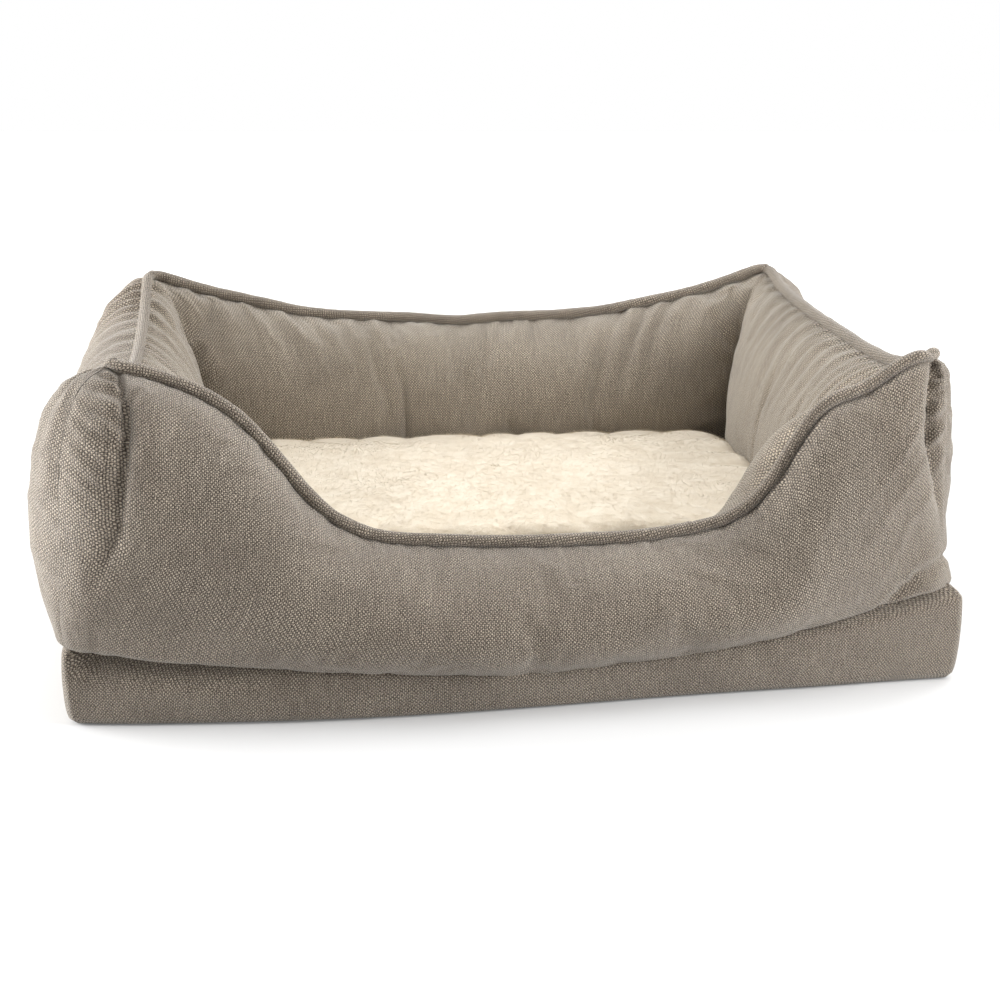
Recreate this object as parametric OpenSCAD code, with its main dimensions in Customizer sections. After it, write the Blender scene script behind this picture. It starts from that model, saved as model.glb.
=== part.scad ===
// Rectangular pet cushion bed. A boxed foam base carries four stuffed bolster walls that rise to
// a peak at each corner and dip between them, deepest at the front entry. Every ridge is corded
// with covered piping. A loose cushion with a fleece top lies in the well and lifts out.
// The frame: origin at the centre of the footprint on the floor, front wall towards -Y, Z up.

/* [Walls] */
// Distance between the left and right wall ridges
ridge_w = 620; // [580:10:680]
// Distance between the front and back wall ridges
ridge_d = 434; // [400:2:480]
// Height of the piping's centre line at the corner peaks
peak_h = 262; // [235:1:290]
// Drop of the front ridge at the middle of the entry
front_dip = 146; // [100:1:150]
// Drop of the back ridge at its middle
back_dip = 49; // [20:1:70]
// Drop of each side ridge at its middle
side_dip = 38; // [15:1:60]
// Half of the entry's width, at half its depth
entry_half = 193; // [150:1:210]
// How far the walls swell outwards past their ridge
bulge_out = 46; // [42:1:60]
// Extra swell of the front wall at the middle of the entry
front_bulge = 20; // [10:1:30]
// How far the walls swell inwards past their ridge
bulge_in = 60; // [45:1:70]

/* [Base] */
// Height of the boxed base
base_h = 66; // [50:1:80]
// How far the base stands out past the ridges
base_out = 34; // [20:1:40]
// Extra bow of the base's front at its middle
front_bow = 14; // [5:1:28]
// How far the front wall sags down over the base at its middle
front_sag = 30; // [5:1:34]
// Length of the base's zip, between its end stops
base_zip_len = 300; // [200:10:360]

/* [Cushion] */
// Height of the loose cushion at its edge, with the fleece
cushion_edge_h = 42; // [34:1:50]
// Height of the cushion's crown above its edge
cushion_crown = 10; // [4:1:14]

/* [Trim] */
// Outer diameter of the covered piping
piping_d = 10; // [8:0.5:12]
// Thickness of the cover fabric
cloth = 1.2; // [1:0.1:1.6]
// Length of a zip's pull tab
pull_len = 24; // [18:1:30]

/* [Hidden] */

FRONT = 0;
RIGHT = 1;
BACK = 2;
LEFT = 3;

taupe = "#a49a8c";
taupe_dark = "#7f7568";
taupe_light = "#b8ae9f";
cream = "#f2e9d8";
underside = "#35322f";
fibre = "#eeeeea";
foam_yellow = "#e8dfae";
cord_white = "#dcd8cc";
zip_tape = "#8b8377";
zip_nylon = "#6f675d";
zip_metal = "#b4b2ac";

ridge_r = 14;          // plan radius of the ridge line at a corner
inner_r = 8;           // least plan radius of an inner corner
seam_gap = 0.25;       // each wall stops this far short of its mitre plane
air = 0.4;             // clearance between layers of the base and of the cushion
fill_air = 1.2;        // clearance between a wall's cover and its stuffing
piping_r = piping_d / 2;
cord_r = piping_r - cloth - 0.3;
tube_sides = 8;
arc_steps = 3;
entry_steps = 28;
long_steps = 20;
short_steps = 10;
entry_soft = 22;       // how gradually the entry's sides fall
lip = 8;               // how far every wall laps down over the base
deck_z = base_h;

// The front swells further than the back, so the ridges sit behind the footprint's middle.
centre_shift = (reach(FRONT) - reach(BACK)) / 2;

// ---- Plan of a wall: x runs along it, d is the distance outside its ridge ----

function half_len(wall) = (wall % 2 == 0 ? ridge_w : ridge_d) / 2;
function half_off(wall) = (wall % 2 == 0 ? ridge_d : ridge_w) / 2;
function steps(wall) = wall == FRONT ? entry_steps : wall == BACK ? long_steps : short_steps;

// A station is [share of the straight run, turn round the corner].
function stations(wall) = concat(
    [for (i = [0 : arc_steps - 1]) [-1, -45 * (1 - i / arc_steps)]],
    [for (i = [0 : steps(wall)]) [2 * i / steps(wall) - 1, 0]],
    [for (i = [1 : arc_steps]) [1, 45 * i / arc_steps]]
);

function corner_r(d) = max(inner_r, ridge_r + d);

function plan(wall, st, d) = let (r = corner_r(d)) [
    st[0] * (half_len(wall) - seam_gap + d - r) + r * sin(st[1]),
    half_off(wall) + d - r + r * cos(st[1])
];

// Share of the way along the ridge, from -1 at one corner peak to 1 at the other
function share(wall, st) = plan(wall, st, 0)[0] / plan(wall, [1, 45], 0)[0];

// ---- Heights and swells along a wall ----

function entry(u) = 1 / (1 + exp((abs(u) * ridge_w / 2 - entry_half) / entry_soft));
function entry_share(u) = (entry(u) - entry(1)) / (entry(0) - entry(1));

function ridge_drop(wall, u) =
    wall == FRONT ? front_dip * (0.87 * entry_share(u) + 0.13 * (1 - u * u)) :
    wall == BACK ? back_dip * (1 - pow(abs(u), 2.4)) :
    side_dip * (1 - pow(abs(u), 2.2));

function ridge_z(wall, u) = peak_h - ridge_drop(wall, u);

function ridge_slope(wall, u) =
    let (a = max(-1, u - 0.01), b = min(1, u + 0.01))
    (ridge_z(wall, b) - ridge_z(wall, a)) / ((b - a) * half_len(wall));

// The panels start below the piping, further down where the ridge is steep.
function panel_top(wall, u) =
    ridge_z(wall, u) - (piping_r + 0.6) * sqrt(1 + pow(ridge_slope(wall, u), 2));

function front_only(wall, u, extra) = wall == FRONT ? extra * (1 - u * u) : 0;
function fold_z(wall, u) = base_h - lip - front_only(wall, u, front_sag);
function base_d(wall, u) = base_out + front_only(wall, u, front_bow);
function swell(wall, u) = bulge_out + front_only(wall, u, front_bulge);
function swell_in(u) = bulge_in * (0.78 + 0.22 * (1 - pow(abs(u), 4)));

// ---- Cross-sections, as [d, z] points from the ridge down ----

function bezier(p, n) = [for (i = [0 : n]) let (t = i / n, s = 1 - t)
    s * s * s * p[0] + 3 * s * s * t * p[1] + 3 * s * t * t * p[2] + t * t * t * p[3]];

function outer_path(wall, u) =
    let (top = panel_top(wall, u), low = fold_z(wall, u), h = top - low, b = swell(wall, u))
    concat(
        bezier([
            [0.4, top],
            [0.7 * b, top - 0.04 * h],
            [1.3 * b, low + 0.3 * h],
            [base_d(wall, u) + 6, low]
        ], 8),
        [[base_d(wall, u) + 0.8, low + 1.6]]
    );

function inner_path(wall, u) =
    let (top = panel_top(wall, u), h = top - deck_z, d = swell_in(u), belly = deck_z + 0.35 * h)
    concat(
        bezier([
            [-0.4, top],
            [-0.6 * d, top - 0.03 * h],
            [-d, belly + 0.3 * h],
            [-d, belly]
        ], 8),
        [[-d, deck_z + 0.6]]
    );

// How far the middle of a wall stands out past its ridge
function reach(wall) = max([for (p = outer_path(wall, 0)) p[0]]);

// The same path moved towards the stuffing: side is 1 on the outer path, -1 on the inner one.
function inset(path, side, t) = [for (i = [1 : len(path) - 1])
    let (
        a = path[i - 1],
        b = path[min(i + 1, len(path) - 1)],
        run = (b - a) / norm(b - a)
    )
    path[i] + side * t * [run[1], -run[0]]];

function reversed(list) = [for (i = [len(list) - 1 : -1 : 0]) list[i]];

function skin_section(path, side) = concat(
    path,
    reversed(inset(path, side, cloth)),
    [[path[0][0], path[0][1] - 2 * cloth]]
);

function fill_section(wall, u) =
    let (
        depth = cloth + fill_air,
        outer = outer_path(wall, u),
        out_in = inset(outer, 1, depth),
        in_in = inset(inner_path(wall, u), -1, depth),
        back_d = base_d(wall, u) + 0.8
    )
    concat(
        [[0, outer[0][1] - 2 * depth - 1]],
        [for (i = [0 : len(out_in) - 2]) out_in[i]],
        [[back_d, fold_z(wall, u) + 4], [back_d, deck_z + 0.6]],
        reversed(in_in)
    );

// ---- Lofts ----

function at(wall, st, p) = let (q = plan(wall, st, p[0])) [q[0], -q[1], p[1]];

// Quads between rings of m points, wound so that they face out
function ring_faces(first, m, rings, flip) = [
    for (i = [0 : rings - 2], j = [0 : m - 1])
        let (a = first + i * m + j, b = first + i * m + (j + 1) % m, c = a + m, e = b + m)
        each (flip ? [[a, c, b], [b, c, e]] : [[a, b, c], [b, e, c]])
];

// A closed solid along a wall, from one [d, z] section per station
module wall_loft(wall, sections) {
    list = stations(wall);
    m = len(sections[0]);
    points = [for (i = [0 : len(list) - 1]) for (p = sections[i]) at(wall, list[i], p)];
    last = (len(list) - 1) * m;
    faces = concat(
        ring_faces(0, m, len(list), false),
        [[for (j = [m - 1 : -1 : 0]) j]],
        [[for (j = [0 : m - 1]) last + j]]
    );
    translate([0, centre_shift, 0])
        rotate([0, 0, 90 * wall])
            polyhedron(points, faces, convexity = 8);
}

module outer_panel(wall) {
    color(wall == FRONT ? taupe_dark : taupe)
        wall_loft(wall, [for (st = stations(wall)) skin_section(outer_path(wall, share(wall, st)), 1)]);
}

// The inner path runs the other way round, so its section is reversed to face out.
module inner_panel(wall) {
    color(taupe_light)
        wall_loft(wall, [for (st = stations(wall))
            reversed(skin_section(inner_path(wall, share(wall, st)), -1))]);
}

module wall_fill(wall) {
    color(fibre)
        wall_loft(wall, [for (st = stations(wall)) fill_section(wall, share(wall, st))]);
}

// ---- Piping ----

function ridge_point(wall, st) = at(wall, st, [0, ridge_z(wall, share(wall, st))]);

function unit(v) = v / norm(v);

// A ring of points round the ridge: upright at the two mitred ends, square to the run elsewhere
function tube_ring(wall, list, i, r) =
    let (
        last = len(list) - 1,
        run = ridge_point(wall, list[min(i + 1, last)]) - ridge_point(wall, list[max(i - 1, 0)]),
        out = [sin(list[i][1]), -cos(list[i][1]), 0],
        up = i == 0 || i == last ? [0, 0, 1] : unit(cross(out, run)),
        sign = up[2] < 0 ? -1 : 1
    )
    [for (j = [0 : tube_sides - 1])
        ridge_point(wall, list[i]) + r * (cos(360 * j / tube_sides) * out
            + sin(360 * j / tube_sides) * sign * up)];

module piping_cover(wall) {
    list = stations(wall);
    m = tube_sides;
    n = len(list);
    outer = [for (i = [0 : n - 1]) for (p = tube_ring(wall, list, i, piping_r)) p];
    inner = [for (i = [0 : n - 1]) for (p = tube_ring(wall, list, i, piping_r - cloth)) p];
    bore = n * m;
    faces = concat(
        ring_faces(0, m, n, true),
        ring_faces(bore, m, n, false),
        [for (j = [0 : m - 1]) [j, (j + 1) % m, bore + (j + 1) % m, bore + j]],
        [for (j = [0 : m - 1])
            let (a = (n - 1) * m + j, b = (n - 1) * m + (j + 1) % m) [a, bore + a, bore + b, b]]
    );
    color(wall == FRONT ? taupe_dark : taupe)
        translate([0, centre_shift, 0])
            rotate([0, 0, 90 * wall])
                polyhedron(concat(outer, inner), faces, convexity = 8);
}

module piping_cord(wall) {
    list = stations(wall);
    m = tube_sides;
    n = len(list);
    points = [for (i = [0 : n - 1]) for (p = tube_ring(wall, list, i, cord_r)) p];
    faces = concat(
        ring_faces(0, m, n, true),
        [[for (j = [0 : m - 1]) j]],
        [[for (j = [m - 1 : -1 : 0]) (n - 1) * m + j]]
    );
    color(cord_white)
        translate([0, centre_shift, 0])
            rotate([0, 0, 90 * wall])
                polyhedron(points, faces, convexity = 8);
}

// ---- Base ----

panel_t = 1.5;                     // thickness of the bottom and deck panels
band_low = panel_t + 0.1;
band_high = base_h - panel_t - 0.1;
foam_in = cloth + air;

function base_edge(wall, st, inside) =
    let (q = plan(wall, st, base_d(wall, share(wall, st)) - inside)) [q[0], -q[1]];

function turned(p, wall) = [
    p[0] * cos(90 * wall) - p[1] * sin(90 * wall),
    p[0] * sin(90 * wall) + p[1] * cos(90 * wall) + centre_shift
];

function base_outline(inside) = [
    for (wall = [FRONT, RIGHT, BACK, LEFT])
        for (st = stations(wall)) turned(base_edge(wall, st, inside), wall)
];

zip_z = 34;                        // height of the base's zip
zip_slot = 12;                     // height of the slot that shows the coils
zip_face = ridge_d / 2 + base_out + centre_shift;   // outer face of the back band
zip_room = 16;                     // extra slot past each end stop

module base_foam() {
    channel = 6;
    color(foam_yellow)
        difference() {
            translate([0, 0, band_low])
                linear_extrude(band_high - band_low)
                    polygon(base_outline(foam_in));
            translate([-base_zip_len / 2 - zip_room, zip_face - channel, zip_z - 15])
                cube([base_zip_len + 2 * zip_room, 2 * channel, 30]);
        }
}

module base_bottom_panel() {
    color(underside)
        linear_extrude(panel_t)
            polygon(base_outline(0));
}

module base_deck_panel() {
    color(taupe_dark)
        translate([0, 0, base_h - panel_t])
            linear_extrude(panel_t)
                polygon(base_outline(0));
}

module base_band(wall) {
    list = stations(wall);
    strip = concat(
        [for (st = list) turned(base_edge(wall, st, 0), wall)],
        [for (st = reversed(list)) turned(base_edge(wall, st, cloth), wall)]
    );
    color(wall == FRONT ? taupe_dark : taupe)
        difference() {
            translate([0, 0, band_low])
                linear_extrude(band_high - band_low)
                    polygon(strip);
            if (wall == BACK)
                translate([-base_zip_len / 2 - 6, zip_face - 5, zip_z - zip_slot / 2])
                    cube([base_zip_len + 12, 10, zip_slot]);
        }
}

module care_label() {
    color(cream)
        translate([ridge_w / 2 - 60, zip_face + 0.2, 6])
            cube([28, 0.5, 22]);
}

// ---- Zips: x along the zip, +y out of the cover, z across; y = 0 is the cover's outer face ----

tape_t = 0.6;
coil_in = 0.7;                     // half of the gap that the slider's neck runs in
coil_out = 2.7;
plate_t = 1.2;
plate_w = 8.4;
slider_len = 11;
pin_y = 4.3;
pin_r = 0.7;
ear_t = 0.9;
eye_w = 3.8;
stop_len = 3;

module zip_tapes(length) {
    color(zip_tape)
        for (side = [-1, 1])
            translate([-length / 2 - 5, -cloth - 0.1 - tape_t, side > 0 ? coil_in : -coil_in - 13])
                cube([length + 10, tape_t, 13]);
}

module zip_coils(length) {
    color(zip_nylon)
        for (side = [-1, 1])
            translate([-length / 2, -cloth, side > 0 ? coil_in : -coil_out])
                cube([length, 1.8, coil_out - coil_in]);
}

module zip_stops(length) {
    color(zip_metal)
        for (side = [-1, 1])
            translate([side * (length / 2 + 0.1 + stop_len / 2) - stop_len / 2, -cloth, -coil_out])
                cube([stop_len, 2.2, 2 * coil_out]);
}

// Two plates joined by the neck between the coils, with two ears and the pin for the pull
module zip_slider() {
    outer_y = 0.9;
    inner_y = -cloth - 0.1 - tape_t - 0.4 - plate_t;
    color(zip_metal) {
        translate([-slider_len / 2, outer_y, -plate_w / 2])
            cube([slider_len, plate_t, plate_w]);
        translate([-slider_len / 2, inner_y, -plate_w / 2])
            cube([slider_len, plate_t, plate_w]);
        translate([-2.5, inner_y, -0.4])
            cube([5, outer_y - inner_y + plate_t, 0.8]);
        for (side = [-1, 1])
            translate([-1.4, outer_y + plate_t - 0.01, side > 0 ? eye_w / 2 + 0.2 : -eye_w / 2 - 0.2 - ear_t])
                cube([2.8, pin_y - outer_y - plate_t + 1.3, ear_t]);
        translate([0, pin_y, -eye_w / 2 - 0.3])
            cylinder(h = eye_w + 0.6, r = pin_r, $fn = 32);
    }
}

// A tab that turns on the slider's pin: an eye, a narrow neck and a wider grip
module zip_pull() {
    tab_t = 1.2;
    eye_r = 1.5;
    color(zip_metal)
        difference() {
            union() {
                translate([0, pin_y, -eye_w / 2])
                    cylinder(h = eye_w, r = eye_r, $fn = 40);
                translate([0, pin_y - tab_t / 2, -1.6])
                    cube([pull_len - 6, tab_t, 3.2]);
                translate([6, pin_y - tab_t / 2, -3.5])
                    cube([pull_len - 6, tab_t, 7]);
            }
            translate([0, pin_y, -eye_w])
                cylinder(h = 2 * eye_w, r = pin_r + 0.1, $fn = 32);
            translate([pull_len - 4.5, pin_y - tab_t, 0])
                rotate([-90, 0, 0])
                    cylinder(h = 2 * tab_t, r = 1.8, $fn = 32);
        }
}

module on_base_back() {
    translate([0, zip_face, zip_z])
        children();
}

// The slider rests at the closed end of its zip.
slider_end = 10;

module on_closed_end() {
    on_base_back()
        translate([slider_end - base_zip_len / 2, 0, 0])
            children();
}

// ---- Cushion ----

lift_gap = 0.4;                    // the cushion's clearance to the walls and the deck
cushion_z = deck_z + lift_gap;
cushion_w = ridge_w - 2 * bulge_in - 2 * lift_gap;
cushion_d = ridge_d - 2 * bulge_in - 2 * lift_gap;
cushion_r = 34;                    // plan radius of its corners
fleece_t = 7;                      // backing and pile together
fleece_skirt = 9;                  // how far the fleece comes down the sides
band_top = cushion_edge_h - fleece_skirt;

// A rectangle with round corners, drawn in from the cushion's outline
module cushion_outline(inside) {
    w = cushion_w - 2 * inside;
    d = cushion_d - 2 * inside;
    r = cushion_r - inside;
    square([w - 2 * r, d], center = true);
    square([w, d - 2 * r], center = true);
    for (sx = [-1, 1], sy = [-1, 1])
        translate([sx * (w / 2 - r), sy * (d / 2 - r)])
            circle(r, $fn = 64);
}

// The same outline as points, seven to each corner
function cushion_ring(inside, z) =
    let (w = cushion_w / 2 - inside, d = cushion_d / 2 - inside, r = max(2, cushion_r - inside))
    [for (q = [0 : 3], i = [0 : 6])
        let (a = 90 * q + 15 * i, sx = q == 0 || q == 3 ? 1 : -1, sy = q < 2 ? 1 : -1)
        [sx * (w - r) + r * cos(a), sy * (d - r) + r * sin(a), z]];

// Height of the crowned top above the cushion's underside, from its outline inwards
edge_round = 6;
function crown_z(inside) = cushion_edge_h - 5 + 5 * sqrt(min(1, inside / edge_round))
    + cushion_crown * sin(min(90, inside * 0.8));

crown_rings = [0, 2, 6, 20, 45, 75, 105];

// A solid from height low up to the crowned top, the whole drawn in and lowered by t
module crowned(low, t) {
    rings = concat(
        [cushion_ring(t, low)],
        [for (x = crown_rings) cushion_ring(t + x, crown_z(x) - t)]
    );
    m = len(rings[0]);
    n = len(rings);
    faces = concat(
        ring_faces(0, m, n, true),
        [[for (j = [0 : m - 1]) j]],
        [[for (j = [m - 1 : -1 : 0]) (n - 1) * m + j]]
    );
    translate([0, centre_shift, cushion_z])
        polyhedron([for (ring = rings) for (p = ring) p], faces, convexity = 4);
}

module cushion_fleece_top() {
    color(cream)
        difference() {
            crowned(band_top, 0);
            crowned(band_top - 5, fleece_t);
        }
}

module cushion_side_band() {
    color(cream)
        translate([0, centre_shift, cushion_z + cloth + 0.1])
            linear_extrude(band_top - cloth - 0.2)
                difference() {
                    cushion_outline(0);
                    cushion_outline(cloth);
                }
}

module cushion_underside() {
    color(taupe_light)
        translate([0, centre_shift, cushion_z])
            linear_extrude(cloth)
                cushion_outline(0);
}

module cushion_fill() {
    color(fibre)
        crowned(cloth + air, fleece_t + air);
}

base_foam();
base_bottom_panel();
base_deck_panel();
base_band(FRONT);  // base_band_front
base_band(RIGHT);  // base_band_right
base_band(BACK);  // base_band_back
base_band(LEFT);  // base_band_left
on_base_back() zip_tapes(base_zip_len);  // base_zip_tapes
on_base_back() zip_coils(base_zip_len);  // base_zip_coils
on_base_back() zip_stops(base_zip_len);  // base_zip_stops
on_closed_end() zip_slider();  // base_zip_slider
on_closed_end() zip_pull();  // base_zip_pull
care_label();
outer_panel(FRONT);  // front_outer_panel
inner_panel(FRONT);  // front_inner_panel
wall_fill(FRONT);  // front_fill
piping_cover(FRONT);  // front_piping_cover
piping_cord(FRONT);  // front_piping_cord
outer_panel(RIGHT);  // right_outer_panel
inner_panel(RIGHT);  // right_inner_panel
wall_fill(RIGHT);  // right_fill
piping_cover(RIGHT);  // right_piping_cover
piping_cord(RIGHT);  // right_piping_cord
outer_panel(BACK);  // back_outer_panel
inner_panel(BACK);  // back_inner_panel
wall_fill(BACK);  // back_fill
piping_cover(BACK);  // back_piping_cover
piping_cord(BACK);  // back_piping_cord
outer_panel(LEFT);  // left_outer_panel
inner_panel(LEFT);  // left_inner_panel
wall_fill(LEFT);  // left_fill
piping_cover(LEFT);  // left_piping_cover
piping_cord(LEFT);  // left_piping_cord
cushion_fleece_top();
cushion_side_band();
cushion_underside();
cushion_fill();
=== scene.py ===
"""Looks of the pet cushion bed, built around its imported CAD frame.

Metres, Z up, with the front wall towards -Y. The walls' covers, the piping, the base's cloth, the
cushion, the zip's coils and the label are meshes made here. The rest of the zip is the CAD's own.
"""

import math

import bpy
import numpy as np
from mathutils import Matrix, Vector


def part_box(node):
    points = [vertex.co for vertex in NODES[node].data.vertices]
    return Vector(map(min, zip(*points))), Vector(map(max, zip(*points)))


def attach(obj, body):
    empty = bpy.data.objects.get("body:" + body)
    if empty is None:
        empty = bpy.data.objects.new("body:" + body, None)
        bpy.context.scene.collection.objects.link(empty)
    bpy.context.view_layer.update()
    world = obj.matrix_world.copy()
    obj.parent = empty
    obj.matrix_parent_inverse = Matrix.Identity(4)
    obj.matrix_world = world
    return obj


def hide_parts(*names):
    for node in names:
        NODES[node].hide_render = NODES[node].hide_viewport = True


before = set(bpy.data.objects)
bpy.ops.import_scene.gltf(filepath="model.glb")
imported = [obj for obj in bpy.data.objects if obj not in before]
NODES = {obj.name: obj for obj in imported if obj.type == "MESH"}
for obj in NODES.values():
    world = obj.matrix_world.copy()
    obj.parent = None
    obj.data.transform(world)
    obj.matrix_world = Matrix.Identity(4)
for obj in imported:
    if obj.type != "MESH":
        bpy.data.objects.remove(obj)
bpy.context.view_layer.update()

# ---- Sizes ----

FRONT, RIGHT, BACK, LEFT = range(4)
NAMES = ("front", "right", "back", "left")
PIPE_R = 0.005

piping = [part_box(f"{name}_piping_cover") for name in NAMES]
ridge_front = piping[FRONT][0].y + PIPE_R
ridge_back = piping[BACK][1].y - PIPE_R
RIDGE_X = piping[RIGHT][1].x - PIPE_R
RIDGE_Y = (ridge_back - ridge_front) / 2
CENTRE_Y = (ridge_front + ridge_back) / 2
PEAK_Z = piping[FRONT][1].z - PIPE_R
DECK_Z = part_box("base_deck_panel")[1].z
BASE_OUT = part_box("base_band_right")[1].x - RIDGE_X
ZIP_Z = (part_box("base_zip_tapes")[0].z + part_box("base_zip_tapes")[1].z) / 2
ZIP_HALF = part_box("base_zip_coils")[1].x

HALF_LEN = (RIDGE_X, RIDGE_Y, RIDGE_X, RIDGE_Y)  # half the length of each ridge
HALF_OFF = (RIDGE_Y, RIDGE_X, RIDGE_Y, RIDGE_X)  # from the bed's middle to each ridge

# radii of the corners in plan
RIDGE_R = 0.014
WELL_R = 0.008
BASE_R = 0.007
FOLD_R = 0.030

FOLD_DROP = 0.008  # the walls lap over the base to this far below the deck
ENTRY_DROP = 0.144  # from the peaks down to the entry in the front wall
BAND_LOW = 0.0008
UV = "cloth"
TURN = 2 * math.pi


# ---- Noise and curves ----


def lattice(ix, iy, seed):
    h = np.sin(ix * 127.1 + iy * 311.7 + seed * 74.7) * 43758.5453
    return h - np.floor(h)


def noise(x, y, seed):
    """Smooth value noise from -1 to 1."""
    x, y = np.broadcast_arrays(np.asarray(x, float), np.asarray(y, float))
    ix, iy = np.floor(x), np.floor(y)
    fx, fy = x - ix, y - iy
    fx, fy = fx * fx * (3 - 2 * fx), fy * fy * (3 - 2 * fy)
    low = lattice(ix, iy, seed) * (1 - fx) + lattice(ix + 1, iy, seed) * fx
    high = lattice(ix, iy + 1, seed) * (1 - fx) + lattice(ix + 1, iy + 1, seed) * fx
    return 2 * (low * (1 - fy) + high * fy) - 1


def step(a, b, x):
    """Rises smoothly from 0 at a to 1 at b."""
    t = np.clip((x - a) / (b - a), 0, 1)
    return t * t * (3 - 2 * t)


def hill(x, at, width):
    """A smooth hill of height 1."""
    return np.exp(-(((x - at) / width) ** 2))


def run_along(path):
    """Distance along a path to each of its points."""
    return np.concatenate([[0], np.cumsum(np.linalg.norm(np.diff(path, axis=0), axis=1))])


def bezier(p, n):
    t = np.linspace(0, 1, n)[None, :, None]
    s = 1 - t
    p = [q[:, None, :] for q in p]
    return s**3 * p[0] + 3 * s * s * t * p[1] + 3 * s * t * t * p[2] + t**3 * p[3]


# ---- Shape of the walls: u runs along a wall's ridge from -1 to 1, d is the distance outside the ridge ----


def near_front_right(wall, u):
    """1 at the front right corner, falling to 0 along the two walls that meet there."""
    if wall == FRONT:
        return step(0.55, 1.0, u)
    if wall == RIGHT:
        return step(-0.55, -1.0, u)
    return 0 * u


def near_front_left(wall, u):
    if wall == FRONT:
        return step(-0.55, -1.0, u)
    if wall == LEFT:
        return step(0.55, 1.0, u)
    return 0 * u


def ridge_shift(wall, u):
    """How far a ridge leans outwards: the front right corner stands out a little."""
    end = u if wall == FRONT else -u if wall == RIGHT else 0 * u - 1
    return 0.0060 * step(0.5, 1, end)


def entry(x, half, soft):
    return 1 / (1 + np.exp((np.abs(x) - half) / soft))


def front_drop(u):
    """The front ridge dips to its entry, more steeply on the right, with a small sag beside each peak."""
    x = u * RIDGE_X
    half = np.where(x > 0, 0.2057, 0.1893)
    soft = np.where(x > 0, 0.0164, 0.0222)
    ends = entry(RIDGE_X, half, soft)
    share = (entry(x, half, soft) - ends) / (1 - ends)
    dip = ENTRY_DROP * (0.793 * share + 0.207 * (1 - u * u)) + 0.0008 * np.sin(u * 9)
    return dip + 0.0143 * hill(x, 0.256, 0.029) + 0.0059 * hill(x, -0.237, 0.055)


def ridge_z(wall, u):
    if wall == FRONT:
        drop = front_drop(u)
    elif wall == RIGHT:
        drop = (0.024 - 0.007 * u) * (1 - np.abs(u) ** 5)
    elif wall == BACK:
        drop = 0.049 * (1 - np.abs(u) ** 2.4) + 0.0012 * np.sin(u * 14 + 1) * (1 - u * u)
    else:
        drop = 0.047 * (1 - np.abs(u) ** 2.2)
    return PEAK_Z - drop


def ridge_slope(wall, u):
    a, b = np.maximum(u - 0.01, -1), np.minimum(u + 0.01, 1)
    return (ridge_z(wall, b) - ridge_z(wall, a)) / ((b - a) * HALF_LEN[wall])


def panel_top(wall, u):
    """Height of a panel's upper edge, just inside the underside of its piping."""
    return ridge_z(wall, u) - (PIPE_R - 0.0015) * np.sqrt(1 + ridge_slope(wall, u) ** 2)


def fold_z(wall, u):
    """Height of the fold where a wall laps down over the base."""
    low = DECK_Z - FOLD_DROP
    if wall == FRONT:
        sag = 0.030 * (1 - (u * u + 0.004) ** 0.65)
        return low - sag + 0.018 * np.maximum(u, 0) ** 3
    if wall == RIGHT:
        return low + 0.018 * ((1 - u) / 2) ** 2.5
    return low + 0 * u


def base_d(wall, u):
    """How far the base's edge stands outside the ridge; the front bows out."""
    d = BASE_OUT - 0.006 * near_front_right(wall, u) + 0.004 * near_front_left(wall, u)
    if wall == FRONT:
        d = d + 0.014 * (1 - u * u) - 0.0085 * np.sin(math.pi * u)
    return d


# Profiles of the outer panels at the start of each wall and at its middle. Each is the swell, then the
# upper handle of the curve outwards and upwards, then the lower one, as shares of the swell and height.
CORNERS = (
    (0.052, 1.20, 0.05, 1.26, 0.41),
    (0.023, 1.01, 0.00, 0.88, 0.34),
    (0.053, 0.95, 0.01, 1.30, 0.37),
    (0.053, 1.00, 0.02, 1.30, 0.38),
)
MIDDLES = (
    (0.066, 0.70, -0.04, 1.30, 0.30),
    (0.034, 0.81, 0.10, 1.21, 0.30),
    (0.046, 0.70, -0.04, 1.30, 0.30),
    (0.064, 1.26, 0.01, 1.33, 0.33),
)


def profile(wall, u):
    mid = 1 - np.abs(u) ** 3
    first = (1 - mid) * (u < 0)
    last = (1 - mid) * (u >= 0)
    a, m, b = CORNERS[wall], MIDDLES[wall], CORNERS[(wall + 1) % 4]
    return [first * a[k] + mid * m[k] + last * b[k] for k in range(5)]


def swell_in(wall, u):
    full = (0.060, 0.062, 0.060, 0.062)[wall]
    return full * (0.78 + 0.22 * (1 - np.abs(u) ** 4))


def point(d, z):
    return np.stack(np.broadcast_arrays(d, z), -1)


def outer_section(wall, u):
    """Paths down the outside, from the ridge to the fold and a little way back under it."""
    top, low, e, r = panel_top(wall, u), fold_z(wall, u), base_d(wall, u), ridge_shift(wall, u)
    swell, out_high, up_high, out_low, up_low = profile(wall, u)
    h, over = top - low, 0.010 - 0.007 * near_front_right(wall, u)
    main = bezier(
        [
            point(r + 0.0004, top),
            point(r + out_high * swell, top + up_high * h),
            point(out_low * swell, low + up_low * h),
            point(e + over, low + 0.004),
        ],
        60,
    )
    tuck = bezier(
        [
            point(e + over, low + 0.004),
            point(e + 0.75 * over, low - 0.0012),
            point(e + 0.002, low - 0.0035),
            point(e - 0.007, low + 0.003),
        ],
        12,
    )
    return np.concatenate([main, tuck[:, 1:]], 1)


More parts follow.
